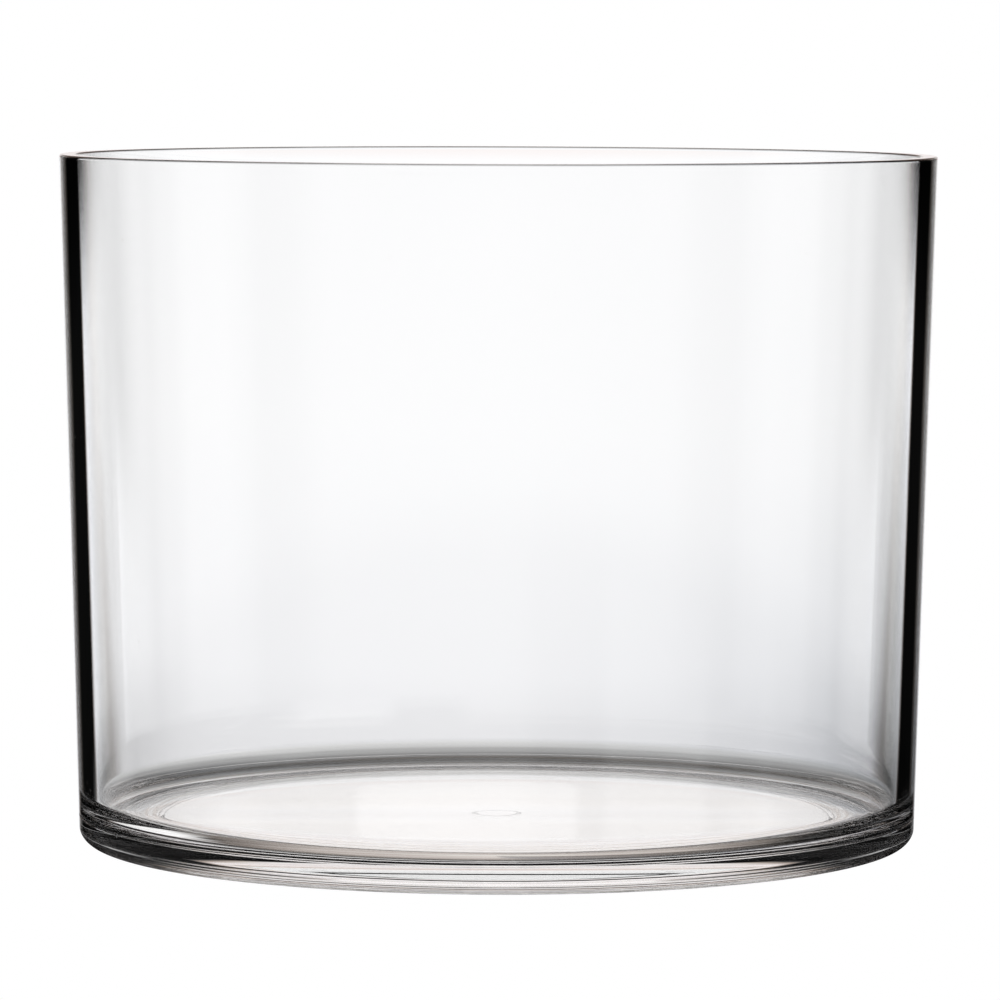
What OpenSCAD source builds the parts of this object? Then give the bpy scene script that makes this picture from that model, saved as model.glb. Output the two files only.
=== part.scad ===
// Crystallizing dish: a deep, clear, thick-walled round vessel that stands on a flat foot ring.
// A drafted side wall stands on a round base plate, and a thin film of clear cement joins them.
// The same cement runs out into a coved bead that rounds the inside corner.
// The origin is the centre of the underside, in the plane that the foot ring stands on.

/* [Dish] */
// Outside diameter over the rim
rim_d = 200; // [150:1:260]
// Overall height
dish_h = 157; // [80:1:220]
// Draft of the outside, from vertical, so that the dish widens upwards
draft = 1.6; // [0:0.1:3]

/* [Side wall] */
// Wall thickness at the rim
rim_wall = 3.8; // [2.5:0.1:5]
// Wall thickness where the wall stands on the base
foot_wall = 4.4; // [2.5:0.1:6]
// Radius on the two polished edges of the rim
rim_edge_r = 0.5; // [0.2:0.1:1]

/* [Base plate] */
// Thickness of the plate
base_t = 6.4; // [5:0.1:9]
// Radius on the lower outside edge
base_edge_r = 3.8; // [1:0.1:4.5]
// Width of the ring that touches the bench, measured in from the outside of the foot
foot_ring_w = 18; // [10:0.5:40]
// Depth of the underside inside the foot ring
recess_depth = 0.7; // [0.3:0.1:1.5]
// Width of the slope from the foot ring up to the recess
recess_slope = 1.2; // [0.5:0.1:3]

/* [Moulding mark] */
// Middle diameter of the shallow ring mark under the centre
mark_d = 10; // [6:0.5:16]
// Width of the ring mark
mark_w = 0.8; // [0.4:0.1:1.5]
// Depth of the ring mark
mark_depth = 0.2; // [0.1:0.05:0.5]

/* [Cement joint] */
// Thickness of the cement film under the wall
film_t = 0.2; // [0.1:0.05:0.5]
// How far the film stops short of the outside, which leaves a fine groove round the dish
groove_depth = 0.15; // [0.05:0.05:0.4]
// Radius of the cove in the inside corner
cove_r = 6; // [2:0.5:12]
// Thickness of the bead's thin edges, on the floor and on the wall
bead_lip = 0.08; // [0.05:0.01:0.2]

/* [Hidden] */
$fn = 96;

CLEAR_BODY = [0.86, 0.93, 0.95, 0.35];
CLEAR_CEMENT = [0.90, 0.94, 0.93, 0.45];

rim_r = rim_d / 2;
wall_z = base_t + film_t;
inner_rim_r = rim_r - rim_wall;
inner_foot_r = outer_r(wall_z) - foot_wall;
inner_draft = atan((inner_rim_r - inner_foot_r) / (dish_h - wall_z));

// Centres of the small rounds on the rim, each tangent to the top and to its own face
rim_out_c = [rim_r - rim_edge_r * (tan(draft) + 1 / cos(draft)), dish_h - rim_edge_r];
rim_in_c = [inner_r(dish_h - rim_edge_r) + rim_edge_r / cos(inner_draft), dish_h - rim_edge_r];

// Centre of the round on the base's lower edge, tangent to the foot ring and to the outside
base_edge_c = [outer_r(base_edge_r) - base_edge_r / cos(draft), base_edge_r];

recess_r = outer_r(0) - foot_ring_w;

// Centre of the cove, which clears the floor and the wall by the bead's lip
cove_c = [
    inner_r(base_t + cove_r) - (cove_r + bead_lip) / cos(inner_draft),
    base_t + cove_r + bead_lip
];

// Radius of the outside face and of the inside face at height z
function outer_r(z) = rim_r - (dish_h - z) * tan(draft);
function inner_r(z) = inner_rim_r - (dish_h - z) * tan(inner_draft);

// The point on a round with centre c and radius r where it meets a face that leans by lean
function on_outside(c, r, lean) = c + r * [cos(lean), -sin(lean)];
function on_inside(c, r, lean) = c - r * [cos(lean), -sin(lean)];

// A small disc in the profile, which rounds a corner
module round_at(c, r) {
    translate(c) circle(r = r);
}

// The outer lower quarter of such a disc, for a round nearly as tall as the plate it is on
module lower_round_at(c, r) {
    intersection() {
        round_at(c, r);
        translate(c - [0, r]) square(r);
    }
}

// The drafted tube: flat where it stands on the film, and rounded on both edges of the rim
module side_wall() {
    color(CLEAR_BODY)
        rotate_extrude() {
            polygon([
                [outer_r(wall_z), wall_z],
                on_outside(rim_out_c, rim_edge_r, draft),
                [rim_out_c.x, dish_h],
                [rim_in_c.x, dish_h],
                on_inside(rim_in_c, rim_edge_r, inner_draft),
                [inner_foot_r, wall_z]
            ]);
            round_at(rim_out_c, rim_edge_r);
            round_at(rim_in_c, rim_edge_r);
        }
}

// The round plate: a flat floor above, and a foot ring round a shallow recess below
module base_plate() {
    color(CLEAR_BODY)
        rotate_extrude()
            difference() {
                union() {
                    polygon([
                        [0, recess_depth],
                        [recess_r - recess_slope, recess_depth],
                        [recess_r, 0],
                        [base_edge_c.x, 0],
                        on_outside(base_edge_c, base_edge_r, draft),
                        [outer_r(base_t), base_t],
                        [0, base_t]
                    ]);
                    lower_round_at(base_edge_c, base_edge_r);
                }
                ring_mark_profile();
            }
}

// The groove of the ring mark, cut up into the recess
module ring_mark_profile() {
    translate([mark_d / 2 - mark_w / 2, 0])
        square([mark_w, recess_depth + mark_depth]);
}

// The cement: a film under the wall, and the coved bead in the inside corner
module corner_bead() {
    color(CLEAR_CEMENT)
        rotate_extrude() {
            polygon([
                [inner_foot_r - bead_lip, base_t],
                [outer_r(base_t) - groove_depth, base_t],
                [outer_r(wall_z) - groove_depth, wall_z],
                [inner_foot_r - bead_lip, wall_z]
            ]);
            difference() {
                polygon([
                    [cove_c.x, base_t],
                    [inner_foot_r, base_t],
                    [inner_foot_r, wall_z],
                    [inner_r(cove_c.y), cove_c.y],
                    cove_c
                ]);
                round_at(cove_c, cove_r);
            }
        }
}

side_wall();
base_plate();
corner_bead();
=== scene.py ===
import math
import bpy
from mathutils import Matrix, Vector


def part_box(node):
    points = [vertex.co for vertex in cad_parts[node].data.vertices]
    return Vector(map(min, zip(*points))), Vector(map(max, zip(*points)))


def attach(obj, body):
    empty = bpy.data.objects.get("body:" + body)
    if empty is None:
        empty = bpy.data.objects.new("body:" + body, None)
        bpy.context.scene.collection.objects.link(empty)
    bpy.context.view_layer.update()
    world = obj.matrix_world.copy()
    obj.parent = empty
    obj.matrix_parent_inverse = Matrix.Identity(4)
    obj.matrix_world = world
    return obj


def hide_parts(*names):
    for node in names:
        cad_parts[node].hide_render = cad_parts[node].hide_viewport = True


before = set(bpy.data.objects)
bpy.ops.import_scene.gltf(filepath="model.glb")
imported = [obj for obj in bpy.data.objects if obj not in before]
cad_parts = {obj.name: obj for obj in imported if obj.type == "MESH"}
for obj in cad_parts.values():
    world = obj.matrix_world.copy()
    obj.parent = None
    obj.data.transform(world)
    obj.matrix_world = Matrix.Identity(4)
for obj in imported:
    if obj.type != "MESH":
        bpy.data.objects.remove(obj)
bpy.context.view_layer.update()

from types import SimpleNamespace

import bmesh
import bpy
from mathutils import Euler

MM = 0.001

# ---------------------------------------------------------------- sizes from the frame

WALL_LOW, WALL_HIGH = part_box("side_wall")
BASE_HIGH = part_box("base_plate")[1]

RIM_R = max(WALL_HIGH.x, WALL_HIGH.y)
RIM_Z = WALL_HIGH.z
WALL_Z = WALL_LOW.z
BASE_T = BASE_HIGH.z
BASE_TOP_R = max(BASE_HIGH.x, BASE_HIGH.y)
DRAFT = math.atan((RIM_R - BASE_TOP_R) / (RIM_Z - BASE_T))

RIM_WALL = 3.8 * MM
FOOT_WALL = 4.4 * MM
RIM_EDGE_R = 0.5 * MM
BASE_EDGE_R = 3.8 * MM
GROOVE_DEPTH = 0.15 * MM
COVE_R = 6.0 * MM
FOOT_RING_W = 18.0 * MM
RECESS_DEPTH = 0.7 * MM
RECESS_SLOPE = 1.2 * MM
RECESS_EDGE_R = 0.35 * MM
MARK_R = 5.0 * MM
MARK_W = 0.8 * MM
MARK_DEPTH = 0.2 * MM
MARK_EDGE_R = 0.3 * MM
JOINT_EDGE_R = 0.05 * MM
HAIR = 0.001 * MM


def outer_r(z):
    """Radius of the outside face at height z."""
    return RIM_R - (RIM_Z - z) * math.tan(DRAFT)


INNER_RIM_R = RIM_R - RIM_WALL
INNER_FOOT_R = outer_r(WALL_Z) - FOOT_WALL
INNER_DRAFT = math.atan((INNER_RIM_R - INNER_FOOT_R) / (RIM_Z - WALL_Z))


def inner_r(z):
    """Radius of the inside face at height z."""
    return INNER_RIM_R - (RIM_Z - z) * math.tan(INNER_DRAFT)


# A full turn of each outline, and the short flats that hold a face true beside a round.
SPIN_STEPS = 400
HOLD = 0.25 * MM
SHARP_ANGLE = math.radians(30)
SAME_PLACE = 0.002 * MM

# The two materials on each piece: the clear face, and the face that is cemented to another piece.
GLASS, JOINED = 0, 1

# ---------------------------------------------------------------- finish of the clear stuff, with its painted shade lines

# Ripples and rings are depths. The dark ring lines are painted shade, laid between two levels of the rings'
# noise, and a speck's radius is in widths of its cell. NO_RINGS starts outside the dish.
WALL_WAVES = 0.03 * MM
BASE_WAVES = 0.002 * MM
CEMENT_WAVES = 0.005 * MM
RING_HEIGHT = 0.03 * MM
# Painted shade: the dark warm colour of the ring lines, and the two noise levels between which it is laid.
RING_SHADE_COLOUR = (0.62, 0.55, 0.5, 1)
SHADE_LINE_FROM, SHADE_LINE_FULL = 0.46, 0.40
SPECK_R = 0.11
TINT_THIN = (0.994, 0.994, 0.992, 1)
TINT_DEEP = (0.978, 0.982, 0.984, 1)
# The foot's painted shade lines, then its real ripples: spacing, and where each starts and grows full.
FOOT_SHADE_LINES = {"Spacing": 1.1 * MM, "Start": 74 * MM, "Full": 79 * MM}
FOOT_SWELLS = {"Spacing": 4.5 * MM, "Start": 72 * MM, "Full": 80 * MM}
NO_RINGS = {"Start": 0.2, "Full": 0.3}
CLEAR_IOR = 1.49

# ---------------------------------------------------------------- camera, table and light

# The camera's place in rim radii, its lens in sensor widths, and its angles in radians.
CAMERA_BACK = 13.947
CAMERA_UP = 1.856
CAMERA_LENS = 6.1072
CAMERA_DIP = 0.077
CAMERA_TURN = -0.0004
CAMERA_ROLL = 0.0031

FLOOR_R = 6
FLOOR_Z = -0.3 * MM
UNDER_R = 82 * MM
UNDER_Z = -0.2 * MM
UNDER_LIGHT = 1.06
UNDER_TINT = (1.0, 0.985, 0.985)

# Light by direction. A stop is (degrees, light), and the light is a grey or a colour. An ACROSS list runs
# from straight ahead to straight behind, alike on both sides. An AROUND list has the right as plus. A RISE
# list runs up from level. A SHARE list says how much of a part counts, across or by rise.
ASIDE = (0, 180)
AROUND = (-180, 180)
NEAR_LEVEL = (-20, 5)
BELOW_LEVEL = (-20, 0)
ALL_BELOW = (-90, 0)
ALL_ABOVE = (0, 90)

# The white backdrop straight ahead: across, and its shade by rise. It narrows towards the table.
BACKDROP_ACROSS = [(0, 1.05), (13.2, 1.02), (15.5, (0.42, 0.39, 0.37)), (18.5, (0.1, 0.09, 0.08)),
                   (20.5, 0.0), (180, 0.0)]
BACKDROP_RISE = [(-20, (0.70, 0.70, 0.72)), (-8.3, (0.77, 0.77, 0.79)), (-7.1, (0.84, 0.84, 0.86)),
                 (-6.3, (0.95, 0.95, 0.97)), (-4.0, (1.0, 1.0, 1.01)), (-1.30, (1.0, 1.0, 1.01)),
                 (-1.24, (0.97, 0.91, 0.90)), (5, (0.95, 0.9, 0.88))]
NARROWS_FROM, NARROWS_TO, NARROWS_BY = -4.5, -8.0, 2.2

# The soft boxes outside the black cards, which fade towards the table and above level.
BOX_ACROSS = [(0, 0.003), (32.8, 0.003), (33.4, (0.5, 0.42, 0.38)), (34.0, (1.3, 1.32, 1.38)),
              (42, 1.3), (55, 1.1), (59, 0.05), (73, 0.05), (78, 1.1), (102, 1.1), (107, 0.05),
              (120, 0.05), (130, 0.75), (180, 0.75)]
BOX_RISE = [(-10.8, 0.0), (-9.8, 0.38), (-7.5, 1.0), (-4.0, 1.15), (-2.6, 0.0)]
BOX_RISE_SHARE = [(40, 1.0), (60, 0.0)]

# The even room outside the boxes, which stands in for them in light that was reflected.
ROOM_LIGHT = 0.7
ROOM_SHARE = [(48, 0.0), (58, 1.0)]
ROOM_SHARE_ONCE = 0.62

# Light reflected off the outside of the wall sees the backdrop narrower and the boxes wider.
MIRRORED_IN, MIRRORED_OUT = 1.9, 3.6
MIRRORED_RISE = [(-8.1, 0.005), (-7.4, 1.0), (3, 1.0), (8, (0.34, 0.28, 0.25))]

# The upright strips below the level of the backdrop, and how they fade down straight ahead.
STRIPS_AROUND = [(-180, 0.6), (-83, 0.6), (-77, 0.02), (-61, 0.02), (-57, 1.1), (-33, 1.1), (-30, 0.02),
                 (-18, 0.02), (-13, 1.1), (13, 1.1), (18, 0.02), (96, 0.02), (99, 0.5), (101, 0.5),
                 (103, 0.02), (118, 0.02), (122, 1.1), (148, 1.1), (152, 0.02), (168, 0.02), (174, 0.6),
                 (180, 0.6)]
STRIPS_RISE = [(-60, 0.08), (-40, 0.1), (-28, 0.22), (-20, 0.4), (-14, 0.62), (-8, 0.76)]
STRIPS_RISE_SHARE = [(0, 1.0), (24, 1.0), (32, 0.0), (180, 0.0)]
STRIPS_SHARE = [(-11, 1.0), (-8, 0.0)]

# The sky over the backdrop, which widens as it rises and comes down in warm and cool streaks.
SKY_SPAN = (-20, 180)
SKY_ACROSS = [(-20, (1.0, 0.985, 0.985)), (20, (0.96, 0.93, 0.92)), (25, (0.5, 0.43, 0.38)), (29, 0.05),
              (33, 0.004), (76, 0.005), (84, 0.8), (96, 0.8), (104, 0.01), (134, 0.01), (150, 0.35),
              (180, 0.35)]
WIDENS_FROM, WIDENS_TO, WIDENS_BY = 6, 22, 18
SKY_SHARE = [(1.5, 0.0), (3.5, 1.0)]
STREAKS_PER_DEGREE = 0.7
STREAK_COLOURS = [(0, (0.42, 0.34, 0.28)), (0.4, (0.72, 0.6, 0.5)), (0.45, (1.15, 1.06, 0.98)),
                  (0.53, (1.2, 1.2, 1.2)), (0.58, (0.88, 0.95, 1.15)), (0.66, (0.42, 0.37, 0.4))]
STREAK_SHARE = [(8, 0.08), (12, 1.0), (19, 1.0), (24, 0.15)]
PANEL_AROUND = [(-2.1, 0.0), (-1.95, 0.12), (1.05, 0.12), (1.2, 0.0)]
PANEL_RISE = [(9.5, 1.0), (11, 0.0)]

# Light piped through the plate finds the dark gap under a sky that starts higher.
GAP_LIGHT = 0.004
PIPED_SKY_LIFT = 2.2

# The table, seen steeply down, and the ceiling, seen steeply up.
TABLE_RISE = [(-90, (0.88, 0.84, 0.80)), (-75, (0.64, 0.59, 0.56)), (-62, (0.56, 0.51, 0.48)),
              (-50, (0.26, 0.23, 0.21)), (-40, (0.08, 0.07, 0.06))]
TABLE_SHARE = [(-46, 1.0), (-36, 0.0)]
CEILING_ACROSS = [(0, 1.0), (60, 1.0), (120, 0.95), (180, 0.95)]
CEILING_SHARE = [(36, 0.0), (46, 1.0)]

# The right of the room is dimmer than the left, low down and in front.
RIGHT_AROUND = [(0, 1.0), (7, (0.64, 0.66, 0.69)), (12, (0.56, 0.57, 0.6)), (30, 0.5),
                (40, (0.3, 0.31, 0.31))]
RIGHT_RISE = [(-9.5, 1.0), (-7.5, 0.75), (-6, 0.4), (-4.5, 0.12), (-2, 0.04)]
RIGHT_SHARE = [(0, 1.0), (50, 1.0), (60, 0.0)]

# ---------------------------------------------------------------- turned pieces


def turned_piece(name, corners, joined, closed=True):
    """Spins an outline of (radius, height, round, segments) corners about the dish's axis.
    Corners with a round are bevelled, and joined(centre, normal) says which faces are cemented."""
    bm = bmesh.new()
    verts = [bm.verts.new((r, 0, z)) for r, z, _, _ in corners]
    count = len(verts)
    for i in range(count if closed else count - 1):
        bm.edges.new((verts[i], verts[(i + 1) % count]))
    for vert, (_, _, round_r, segments) in zip(verts, corners):
        if round_r:
            edges = [e.other_vert(vert).co - vert.co for e in vert.link_edges]
            half = edges[0].angle(edges[1]) / 2
            bmesh.ops.bevel(bm, geom=[vert], offset=round_r / math.tan(half), segments=segments,
                            profile=0.5, affect="VERTICES", material=-1)
    bmesh.ops.spin(bm, geom=bm.verts[:] + bm.edges[:], cent=(0, 0, 0), axis=(0, 0, 1),
                   dvec=(0, 0, 0), angle=math.tau, steps=SPIN_STEPS, use_merge=True)
    bmesh.ops.remove_doubles(bm, verts=bm.verts, dist=SAME_PLACE)
    bmesh.ops.recalc_face_normals(bm, faces=bm.faces)
    for face in bm.faces:
        face.smooth = True
        face.material_index = JOINED if joined(face.calc_center_median(), face.normal) else GLASS
    for edge in bm.edges:
        edge.smooth = len(edge.link_faces) == 2 and edge.calc_face_angle() < SHARP_ANGLE
    mesh = bpy.data.meshes.new(name)
    bm.to_mesh(mesh)
    bm.free()
    piece = bpy.data.objects.new(name, mesh)
    bpy.context.scene.collection.objects.link(piece)
    return piece


def cove_centre():
    """Centre of the cove's round, tangent to the floor and to the inside face."""
    z = BASE_T + COVE_R
    return inner_r(z) - COVE_R / math.cos(INNER_DRAFT), z


def build_side_wall():
    """The drafted tube with its polished rim, flat where it stands on the cement."""
    film_r = outer_r(WALL_Z) - GROOVE_DEPTH
    cove_top = cove_centre()[1]
    corners = [
        (film_r, WALL_Z, 0, 0),
        (outer_r(WALL_Z), WALL_Z, JOINT_EDGE_R, 3),
        (outer_r(WALL_Z + HOLD), WALL_Z + HOLD, 0, 0),
        (outer_r(RIM_Z - RIM_EDGE_R - HOLD), RIM_Z - RIM_EDGE_R - HOLD, 0, 0),
        (outer_r(RIM_Z), RIM_Z, RIM_EDGE_R, 8),
        (RIM_R - RIM_EDGE_R - HOLD, RIM_Z, 0, 0),
        (INNER_RIM_R + RIM_EDGE_R + HOLD, RIM_Z, 0, 0),
        (INNER_RIM_R, RIM_Z, RIM_EDGE_R, 8),
        (inner_r(RIM_Z - RIM_EDGE_R - HOLD), RIM_Z - RIM_EDGE_R - HOLD, 0, 0),
        (inner_r(cove_top), cove_top, 0, 0),
        (INNER_FOOT_R, WALL_Z, 0, 0),
    ]

    def joined(centre, normal):
        r = math.hypot(centre.x, centre.y)
        under = normal.z < -0.9 and r < film_r
        behind_bead = centre.z < cove_top and r < INNER_FOOT_R + 1 * MM and abs(normal.z) < 0.5
        return under or behind_bead

    return turned_piece("wall_glass", corners, joined)


def build_base_plate():
    """The plate: a flat floor, a rounded lower edge, a foot ring and a shallow recess with a ring mark."""
    film_r = outer_r(BASE_T) - GROOVE_DEPTH
    bead_r = cove_centre()[0]
    ring_r = outer_r(0) - FOOT_RING_W
    corners = [
        (0, BASE_T, 0, 0),
        (bead_r, BASE_T, 0, 0),
        (film_r, BASE_T, 0, 0),
        (outer_r(BASE_T), BASE_T, JOINT_EDGE_R, 3),
        (outer_r(BASE_T - HOLD), BASE_T - HOLD, 0, 0),
        (outer_r(BASE_EDGE_R + HOLD), BASE_EDGE_R + HOLD, 0, 0),
        (outer_r(0), 0, BASE_EDGE_R, 24),
        (outer_r(0) - BASE_EDGE_R - HOLD, 0, 0, 0),
        (ring_r + 2 * HOLD, 0, 0, 0),
        (ring_r, 0, RECESS_EDGE_R, 6),
        (ring_r - RECESS_SLOPE, RECESS_DEPTH, RECESS_EDGE_R, 6),
        (ring_r - RECESS_SLOPE - 2 * HOLD, RECESS_DEPTH, 0, 0),
        (MARK_R + MARK_W, RECESS_DEPTH, 0, 0),
        (MARK_R + MARK_W / 2, RECESS_DEPTH, 0, 0),
        (MARK_R, RECESS_DEPTH + MARK_DEPTH, MARK_EDGE_R, 4),
        (MARK_R - MARK_W / 2, RECESS_DEPTH, 0, 0),
        (MARK_R - MARK_W, RECESS_DEPTH, 0, 0),
        (0, RECESS_DEPTH, 0, 0),
    ]

    def joined(centre, normal):
        r = math.hypot(centre.x, centre.y)
        return normal.z > 0.9 and bead_r < r < film_r

    return turned_piece("base_glass", corners, joined, closed=False)


def build_corner_bead():
    """The cement: the film under the wall and the coved bead in the inside corner."""
    cove_r, cove_z = cove_centre()
    film_low, film_high = outer_r(BASE_T) - GROOVE_DEPTH, outer_r(WALL_Z) - GROOVE_DEPTH
    corners = [
        (cove_r, BASE_T, 0, 0),
        (film_low, BASE_T, 0, 0),
        (film_high, WALL_Z, 0, 0),
        (INNER_FOOT_R, WALL_Z, 0, 0),
        (inner_r(cove_z), cove_z, 0, 0),
        (inner_r(BASE_T), BASE_T + HAIR, COVE_R, 32),
    ]

    def joined(centre, normal):
        r = math.hypot(centre.x, centre.y)
        outwards = (normal.x * centre.x + normal.y * centre.y) / r
        near_corner = r < min(inner_r(cove_z), INNER_FOOT_R + 0.5 * MM)
        cove_face = near_corner and (normal.z > 0.01 or outwards < -0.1)
        groove_face = r > film_low - HAIR and outwards > 0.9
        return not (cove_face or groove_face)

    return turned_piece("bead_glass", corners, joined)


# ---------------------------------------------------------------- materials


def math_node(nodes, links, operation, a, b=None, c=None):
    """The result of a sum on up to three values, each a number or a socket."""
    node = nodes.new("ShaderNodeMath")
    node.operation = operation
    for socket, value in zip(node.inputs, (a, b, c)):
        if value is None:
            continue
        if isinstance(value, (int, float)):
            socket.default_value = value
        else:
            links.new(value, socket)
    return node.outputs[0]


def mix_node(nodes, links, blend, factor, a, b):
    """Two colours mixed. Each of the colours and the factor may be a socket, a grey or a colour."""
    node = nodes.new("ShaderNodeMix")
    node.data_type = "RGBA"
    node.blend_type = blend
    for socket, value in ((node.inputs[0], factor), (node.inputs[6], a), (node.inputs[7], b)):
        if isinstance(value, bpy.types.NodeSocket):
            links.new(value, socket)
        elif socket.type == "RGBA" and isinstance(value, (int, float)):
            socket.default_value = (value, value, value, 1)
        else:
            socket.default_value = value
    return node.outputs[2]


def new_material(name):
    """A material with one Principled shader and nothing else."""
    material = bpy.data.materials.new(name)
    material.use_nodes = True
    nodes = material.node_tree.nodes
    nodes.clear()
    output = nodes.new("ShaderNodeOutputMaterial")
    shader = nodes.new("ShaderNodeBsdfPrincipled")
    material.node_tree.links.new(shader.outputs[0], output.inputs["Surface"])
    return material, shader


def new_group(name, inputs, output, output_type):
    """A node group with a Position, number inputs given as (name, start value), and one output."""
    group = bpy.data.node_groups.new(name, "ShaderNodeTree")
    group.interface.new_socket("Position", in_out="INPUT", socket_type="NodeSocketVector")
    for label, value in inputs:
        socket = group.interface.new_socket(label, in_out="INPUT", socket_type="NodeSocketFloat")
        socket.default_value = value
    group.interface.new_socket(output, in_out="OUTPUT", socket_type=output_type)
    return group, group.nodes.new("NodeGroupInput"), group.nodes.new("NodeGroupOutput")


def turned_rings_and_shade_group():
    """Rings about the axis, as a moulding tool leaves them, growing from one radius to another:
    their height, and a mask for thin lines of painted shade along their lowest parts."""
    group, given, result = new_group(
        "turned_rings_and_shade_lines", [("Spacing", 1.4 * MM), ("Start", 70 * MM), ("Full", 80 * MM)],
        "Height", "NodeSocketFloat")
    group.interface.new_socket("Shade Lines", in_out="OUTPUT", socket_type="NodeSocketFloat")
    nodes, links = group.nodes, group.links
    split = nodes.new("ShaderNodeSeparateXYZ")
    links.new(given.outputs["Position"], split.inputs[0])
    flat = nodes.new("ShaderNodeCombineXYZ")
    links.new(split.outputs[0], flat.inputs[0])
    links.new(split.outputs[1], flat.inputs[1])
    length = nodes.new("ShaderNodeVectorMath")
    length.operation = "LENGTH"
    links.new(flat.outputs[0], length.inputs[0])
    radius = length.outputs["Value"]
    noise = nodes.new("ShaderNodeTexNoise")
    noise.noise_dimensions = "1D"
    noise.inputs["Scale"].default_value = 1.0
    noise.inputs["Detail"].default_value = 2.0
    links.new(math_node(nodes, links, "DIVIDE", radius, given.outputs["Spacing"]), noise.inputs["W"])
    grow = nodes.new("ShaderNodeMapRange")
    grow.interpolation_type = "SMOOTHSTEP"
    links.new(radius, grow.inputs["Value"])
    links.new(given.outputs["Start"], grow.inputs["From Min"])
    links.new(given.outputs["Full"], grow.inputs["From Max"])
    height = math_node(nodes, links, "MULTIPLY", noise.outputs[0], grow.outputs[0])
    links.new(height, result.inputs["Height"])
    # Painted shade: where the rings' noise is low, a mask for dark lines.
    thin = nodes.new("ShaderNodeMapRange")
    thin.inputs["From Min"].default_value = SHADE_LINE_FROM
    thin.inputs["From Max"].default_value = SHADE_LINE_FULL
    links.new(noise.outputs[0], thin.inputs["Value"])
    lines = math_node(nodes, links, "MULTIPLY", thin.outputs[0], grow.outputs[0])
    links.new(lines, result.inputs["Shade Lines"])
    return group


def mould_waves_group():
    """Slow ripples of a few centimetres, stretched up the wall."""
    group, given, result = new_group("mould_waves", [("Scale", 28.0), ("Amount", 1.0)],
                                     "Height", "NodeSocketFloat")
    nodes, links = group.nodes, group.links
    stretch = nodes.new("ShaderNodeMapping")
    stretch.inputs["Scale"].default_value = (1.0, 1.0, 0.35)
    links.new(given.outputs["Position"], stretch.inputs["Vector"])
    noise = nodes.new("ShaderNodeTexNoise")
    noise.inputs["Detail"].default_value = 1.5
    links.new(stretch.outputs[0], noise.inputs["Vector"])
    links.new(given.outputs["Scale"], noise.inputs["Scale"])
    height = math_node(nodes, links, "MULTIPLY", noise.outputs[0], given.outputs["Amount"])
    links.new(height, result.inputs["Height"])
    return group


def specks_group():
    """A value that is Clean nearly everywhere and Dull on small scattered specks."""
    group, given, result = new_group(
        "specks", [("Scale", 260.0), ("Clean", 0.0), ("Dull", 0.3), ("Share", 0.05)],
        "Roughness", "NodeSocketFloat")
    nodes, links = group.nodes, group.links
    cells = nodes.new("ShaderNodeTexVoronoi")
    links.new(given.outputs["Position"], cells.inputs["Vector"])
    links.new(given.outputs["Scale"], cells.inputs["Scale"])
    near = math_node(nodes, links, "LESS_THAN", cells.outputs["Distance"], SPECK_R)
    pick = nodes.new("ShaderNodeSeparateColor")
    links.new(cells.outputs["Color"], pick.inputs[0])
    chosen = math_node(nodes, links, "LESS_THAN", pick.outputs[0], given.outputs["Share"])
    spot = math_node(nodes, links, "MULTIPLY", near, chosen)
    spread = nodes.new("ShaderNodeMapRange")
    links.new(spot, spread.inputs["Value"])
    links.new(given.outputs["Clean"], spread.inputs["To Min"])
    links.new(given.outputs["Dull"], spread.inputs["To Max"])
    links.new(spread.outputs[0], result.inputs["Roughness"])
    return group


def tint_group():
    """The colour of the clear stuff, with a slow change of depth through the piece."""
    group, given, result = new_group("clear_tint", [("Scale", 18.0), ("Depth", 0.5)],
                                     "Color", "NodeSocketColor")
    nodes, links = group.nodes, group.links
    noise = nodes.new("ShaderNodeTexNoise")
    noise.inputs["Detail"].default_value = 1.0
    links.new(given.outputs["Position"], noise.inputs["Vector"])
    links.new(given.outputs["Scale"], noise.inputs["Scale"])
    depth = math_node(nodes, links, "MULTIPLY", noise.outputs[0], given.outputs["Depth"])
    ramp = nodes.new("ShaderNodeValToRGB")
    ramp.color_ramp.elements[0].color = TINT_THIN
    ramp.color_ramp.elements[1].color = TINT_DEEP
    links.new(depth, ramp.inputs[0])
    links.new(ramp.outputs[0], result.inputs["Color"])
    return group


def use_group(nodes, links, group, position, values):
    """One use of a group in a material, with its own values."""
    node = nodes.new("ShaderNodeGroup")
    node.node_tree = group
    links.new(position, node.inputs["Position"])
    for label, value in values.items():
        node.inputs[label].default_value = value
    return node


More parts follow.
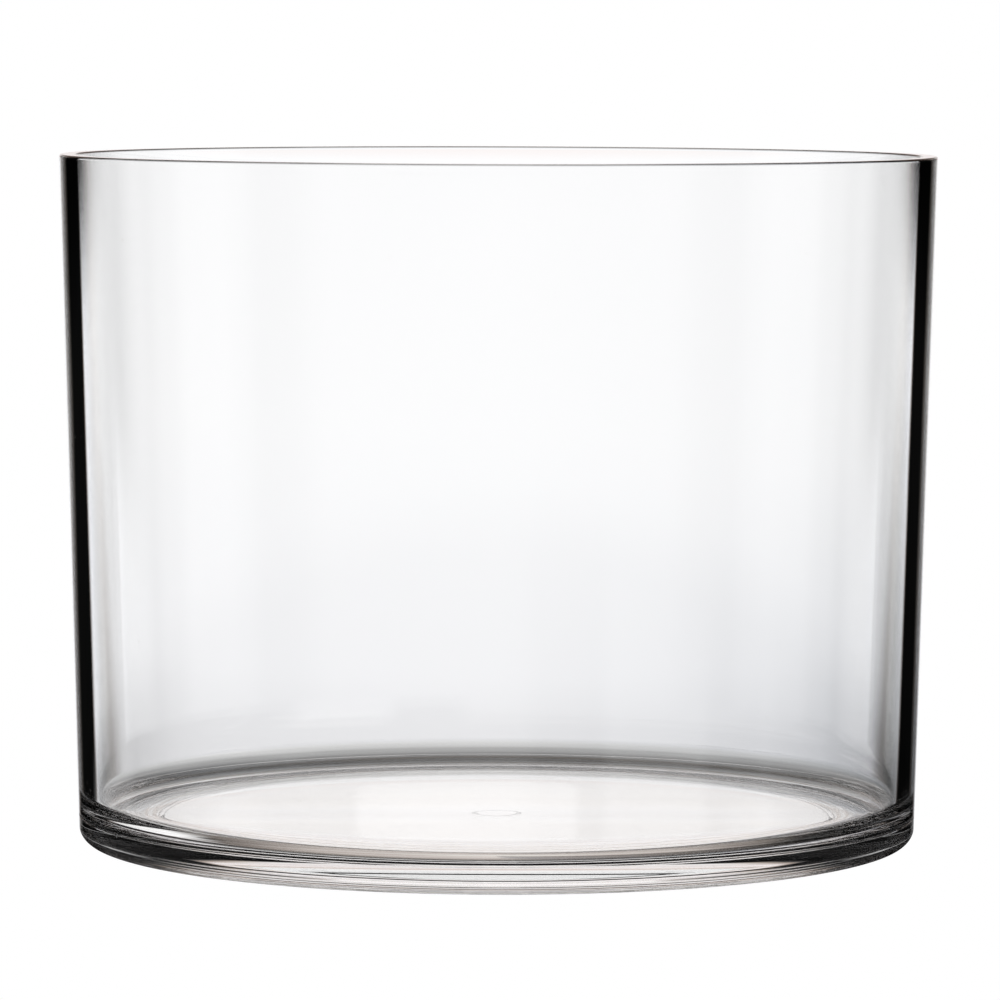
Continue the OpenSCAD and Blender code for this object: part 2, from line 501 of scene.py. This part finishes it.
def clear_material(name, groups, lines, swells, waves, specks, tint):
    """Clear moulded stuff: tint, thin lines of painted shade, specks, and two scales of ripple over one
    glass shader.
    """
    material, shader = new_material(name)
    nodes, links = material.node_tree.nodes, material.node_tree.links
    coords = nodes.new("ShaderNodeTexCoord")
    centre = nodes.new("ShaderNodeMapping")
    links.new(coords.outputs["Object"], centre.inputs["Vector"])
    position = centre.outputs[0]

    plain = use_group(nodes, links, groups["tint"], position, tint).outputs["Color"]
    # Painted shade: dark warm lines mixed into the clear colour along the low parts of the rings' noise.
    painted_shade = use_group(nodes, links, groups["rings_and_shade"], position, lines).outputs["Shade Lines"]
    links.new(mix_node(nodes, links, "MIX", painted_shade, plain, RING_SHADE_COLOUR), shader.inputs["Base Color"])

    dull = use_group(nodes, links, groups["specks"], position, specks).outputs["Roughness"]
    links.new(dull, shader.inputs["Roughness"])

    broad = use_group(nodes, links, groups["rings_and_shade"], position, swells).outputs["Height"]
    amount = {"Amount": waves / RING_HEIGHT}
    slow = use_group(nodes, links, groups["waves"], position, amount).outputs["Height"]
    bump = nodes.new("ShaderNodeBump")
    bump.inputs["Strength"].default_value = 1.0
    bump.inputs["Distance"].default_value = RING_HEIGHT
    links.new(math_node(nodes, links, "ADD", slow, broad), bump.inputs["Height"])
    links.new(bump.outputs[0], shader.inputs["Normal"])

    shader.inputs["IOR"].default_value = CLEAR_IOR
    shader.inputs["Transmission Weight"].default_value = 1.0
    return material


def cemented_face(name):
    """A see-through face, for where two clear pieces are cemented together and light passes straight on."""
    material, shader = new_material(name)
    shader.inputs["Base Color"].default_value = (1, 1, 1, 1)
    shader.inputs["Alpha"].default_value = 0.0
    return material


# ---------------------------------------------------------------- stage


def add_camera():
    """A long lens, a little above the rim and looking slightly down."""
    data = bpy.data.cameras.new("camera")
    data.sensor_width = 36
    data.lens = CAMERA_LENS * data.sensor_width
    data.clip_start, data.clip_end = 0.05, 100
    camera = bpy.data.objects.new("camera", data)
    look = Euler((math.pi / 2 - CAMERA_DIP, 0, CAMERA_TURN), "XYZ").to_matrix()
    roll = Euler((0, 0, CAMERA_ROLL), "XYZ").to_matrix()
    camera.rotation_euler = (look @ roll).to_euler()
    camera.location = (0, -CAMERA_BACK * RIM_R, CAMERA_UP * RIM_R)
    bpy.context.scene.collection.objects.link(camera)
    bpy.context.scene.camera = camera


def add_disc(name, radius, height, strength, tint):
    """A flat disc that shines, for the stage."""
    mesh = bpy.data.meshes.new(name)
    bm = bmesh.new()
    bmesh.ops.create_circle(bm, cap_ends=True, radius=radius, segments=96)
    bmesh.ops.translate(bm, verts=bm.verts, vec=(0, 0, height))
    bm.to_mesh(mesh)
    bm.free()
    disc = bpy.data.objects.new(name, mesh)
    bpy.context.scene.collection.objects.link(disc)
    material = bpy.data.materials.new(name)
    material.use_nodes = True
    nodes, links = material.node_tree.nodes, material.node_tree.links
    nodes.clear()
    output = nodes.new("ShaderNodeOutputMaterial")
    emission = nodes.new("ShaderNodeEmission")
    emission.inputs["Strength"].default_value = strength
    emission.inputs["Color"].default_value = (*tint, 1)
    links.new(emission.outputs[0], output.inputs["Surface"])
    mesh.materials.append(material)
    return disc


def add_floor():
    """A pure white sweep for the eye, and the lit patch of table that shows through the plate."""
    floor = add_disc("floor", FLOOR_R, FLOOR_Z, 1.0, (1, 1, 1))
    floor.visible_transmission = False
    floor.visible_glossy = False
    floor.visible_diffuse = False
    under = add_disc("table_under_dish", UNDER_R, UNDER_Z, UNDER_LIGHT, UNDER_TINT)
    under.visible_camera = False


class StudioNodes:
    """Short ways to add the few kinds of node that the surroundings are mixed from."""

    def __init__(self, tree):
        self.nodes = tree.nodes
        self.links = tree.links

    def math(self, operation, a, b=None, c=None):
        return math_node(self.nodes, self.links, operation, a, b, c)

    def mix(self, factor, a, b):
        return mix_node(self.nodes, self.links, "MIX", factor, a, b)

    def times(self, a, b, factor=1.0):
        return mix_node(self.nodes, self.links, "MULTIPLY", factor, a, b)

    def plus(self, a, b):
        return mix_node(self.nodes, self.links, "ADD", 1.0, a, b)

    def spread(self, value, low, high, top=1.0):
        """The value, made to run from 0 at low to top at high, and held there."""
        node = self.nodes.new("ShaderNodeMapRange")
        node.inputs["From Min"].default_value = low
        node.inputs["From Max"].default_value = high
        node.inputs["To Max"].default_value = top
        self.links.new(value, node.inputs["Value"])
        return node.outputs[0]

    def ramp(self, value, span, stops, interpolation="LINEAR"):
        """A colour ramp over the span of the value, with its stops given at values of it."""
        low, high = span
        ramp = self.nodes.new("ShaderNodeValToRGB")
        ramp.color_ramp.interpolation = interpolation
        elements = ramp.color_ramp.elements
        while len(elements) < len(stops):
            elements.new(0.5)
        for element, (at, colour) in zip(elements, stops):
            element.position = (at - low) / (high - low)
            element.color = (*colour, 1) if isinstance(colour, tuple) else (colour, colour, colour, 1)
        self.links.new(self.spread(value, low, high), ramp.inputs[0])
        return ramp.outputs[0]


def ray_facts(studio):
    """Where each ray leaves to, in degrees, and how it came through the dish."""
    coords = studio.nodes.new("ShaderNodeTexCoord")
    split = studio.nodes.new("ShaderNodeSeparateXYZ")
    studio.links.new(coords.outputs["Generated"], split.inputs[0])
    x, y, z = split.outputs
    degrees = 360 / math.tau
    azimuth = studio.math("MULTIPLY", studio.math("ARCTAN2", x, y), degrees)
    path = studio.nodes.new("ShaderNodeLightPath")
    reflections = path.outputs["Glossy Depth"]
    return SimpleNamespace(
        azimuth=azimuth,
        aside=studio.math("ABSOLUTE", azimuth),
        rise=studio.math("MULTIPLY", studio.math("ARCSINE", z), degrees),
        to_eye=path.outputs["Is Camera Ray"],
        mirrored=path.outputs["Is Reflection Ray"],
        reflected=studio.math("MINIMUM", reflections, 1.0),
        piped=studio.math("GREATER_THAN", reflections, 1.5))


def level_light(studio, ray):
    """The backdrop, the soft boxes outside the black cards, and the even room outside those."""
    from_middle = studio.math("MULTIPLY_ADD", ray.mirrored, MIRRORED_IN, ray.aside)
    narrowed = studio.spread(ray.rise, NARROWS_FROM, NARROWS_TO, NARROWS_BY)
    from_middle = studio.math("ADD", from_middle, narrowed)
    backdrop = studio.times(studio.ramp(from_middle, ASIDE, BACKDROP_ACROSS),
                            studio.ramp(ray.rise, NEAR_LEVEL, BACKDROP_RISE))

    from_boxes = studio.math("MULTIPLY_ADD", ray.mirrored, -MIRRORED_OUT, ray.aside)
    boxes = studio.times(studio.ramp(from_boxes, ASIDE, BOX_ACROSS),
                         studio.ramp(ray.rise, NEAR_LEVEL, BOX_RISE),
                         studio.ramp(ray.aside, ASIDE, BOX_RISE_SHARE))

    once = studio.math("MULTIPLY", ray.reflected, ROOM_SHARE_ONCE)
    share = studio.math("MAXIMUM", ray.mirrored, once)
    share = studio.math("MULTIPLY", share, studio.ramp(ray.aside, ASIDE, ROOM_SHARE))
    return studio.plus(backdrop, studio.mix(share, boxes, ROOM_LIGHT))


def strip_light(studio, ray):
    """The upright strips of light between the backdrop and the table."""
    return studio.times(studio.ramp(ray.azimuth, AROUND, STRIPS_AROUND),
                        studio.ramp(ray.rise, (-60, 0), STRIPS_RISE, "EASE"),
                        studio.ramp(ray.aside, ASIDE, STRIPS_RISE_SHARE))


def sky_light(studio, ray):
    """The streaky sky over the backdrop, with one tall brighter panel in the middle."""
    widened = studio.spread(ray.rise, WIDENS_FROM, WIDENS_TO, WIDENS_BY)
    sky = studio.ramp(studio.math("SUBTRACT", ray.aside, widened), SKY_SPAN, SKY_ACROSS)

    streaks = studio.nodes.new("ShaderNodeTexNoise")
    streaks.noise_dimensions = "1D"
    streaks.inputs["Detail"].default_value = 3.0
    studio.links.new(studio.math("MULTIPLY", ray.rise, STREAKS_PER_DEGREE), streaks.inputs["W"])
    sky = studio.times(sky, studio.ramp(streaks.outputs[0], (0, 1), STREAK_COLOURS),
                       studio.ramp(ray.rise, (0, 30), STREAK_SHARE))

    panel = studio.times(studio.ramp(ray.azimuth, (-10, 10), PANEL_AROUND),
                         studio.ramp(ray.rise, (0, 20), PANEL_RISE))
    return studio.plus(sky, panel)


def all_light(studio, ray):
    """The light in every direction: each part of the room laid over the ones before it."""
    light = studio.mix(studio.ramp(ray.rise, BELOW_LEVEL, STRIPS_SHARE),
                       level_light(studio, ray), strip_light(studio, ray))
    light = studio.mix(ray.piped, light, GAP_LIGHT)
    climb = studio.math("MULTIPLY_ADD", ray.piped, -PIPED_SKY_LIFT, ray.rise)
    light = studio.mix(studio.ramp(climb, (0, 10), SKY_SHARE), light, sky_light(studio, ray))
    light = studio.mix(studio.ramp(ray.rise, ALL_BELOW, TABLE_SHARE),
                       light, studio.ramp(ray.rise, ALL_BELOW, TABLE_RISE))
    light = studio.mix(studio.ramp(ray.rise, ALL_ABOVE, CEILING_SHARE),
                       light, studio.ramp(ray.aside, ASIDE, CEILING_ACROSS))

    off_level = studio.ramp(ray.rise, (-20, 20), MIRRORED_RISE)
    light = studio.times(light, studio.mix(ray.mirrored, 1.0, off_level))

    share = studio.math("MULTIPLY", studio.ramp(ray.rise, BELOW_LEVEL, RIGHT_RISE),
                        studio.ramp(ray.aside, ASIDE, RIGHT_SHARE))
    return studio.times(light, studio.ramp(ray.azimuth, (-60, 60), RIGHT_AROUND), share)


def add_studio():
    """Surroundings that the dish sees by direction, and plain white behind it for the eye."""
    world = bpy.data.worlds.new("studio")
    bpy.context.scene.world = world
    world.use_nodes = True
    nodes, links = world.node_tree.nodes, world.node_tree.links
    nodes.clear()
    studio = StudioNodes(world.node_tree)
    ray = ray_facts(studio)
    around = nodes.new("ShaderNodeBackground")
    links.new(all_light(studio, ray), around.inputs["Color"])
    seen = nodes.new("ShaderNodeBackground")
    seen.inputs["Color"].default_value = (1, 1, 1, 1)
    mix = nodes.new("ShaderNodeMixShader")
    links.new(ray.to_eye, mix.inputs[0])
    links.new(around.outputs[0], mix.inputs[1])
    links.new(seen.outputs[0], mix.inputs[2])
    output = nodes.new("ShaderNodeOutputWorld")
    links.new(mix.outputs[0], output.inputs["Surface"])


# ---------------------------------------------------------------- the dish

# The plate guides light a long way, so light may bounce often.
scene = bpy.context.scene
scene.view_settings.view_transform = "Standard"
scene.cycles.max_bounces = 20
scene.cycles.transmission_bounces = 20
scene.cycles.glossy_bounces = 24
scene.cycles.transparent_max_bounces = 64
add_camera()
add_floor()
add_studio()

groups = {"rings_and_shade": turned_rings_and_shade_group(), "waves": mould_waves_group(), "specks": specks_group(),
          "tint": tint_group()}
wall_glass = clear_material("wall_clear", groups, NO_RINGS, NO_RINGS, WALL_WAVES,
                            {"Share": 0.01, "Dull": 0.2}, {})
# The plate and the cement carry the painted shade lines of the foot ring.
base_glass = clear_material("base_clear", groups, FOOT_SHADE_LINES, FOOT_SWELLS, BASE_WAVES,
                            {"Share": 0.02}, {})
cement = clear_material("cement_clear", groups, FOOT_SHADE_LINES, FOOT_SWELLS, CEMENT_WAVES,
                        {"Share": 0.03}, {"Depth": 0.9})
cemented = cemented_face("cemented_face")

PIECES = [
    (build_side_wall, "side_wall", wall_glass, "clear_body"),
    (build_base_plate, "base_plate", base_glass, "clear_body"),
    (build_corner_bead, "corner_bead", cement, "clear_cement"),
]
for build, node, material, slot in PIECES:
    piece = build()
    piece.data.materials.append(material)
    piece.data.materials.append(cemented)
    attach(piece, "root")
    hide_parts(node)
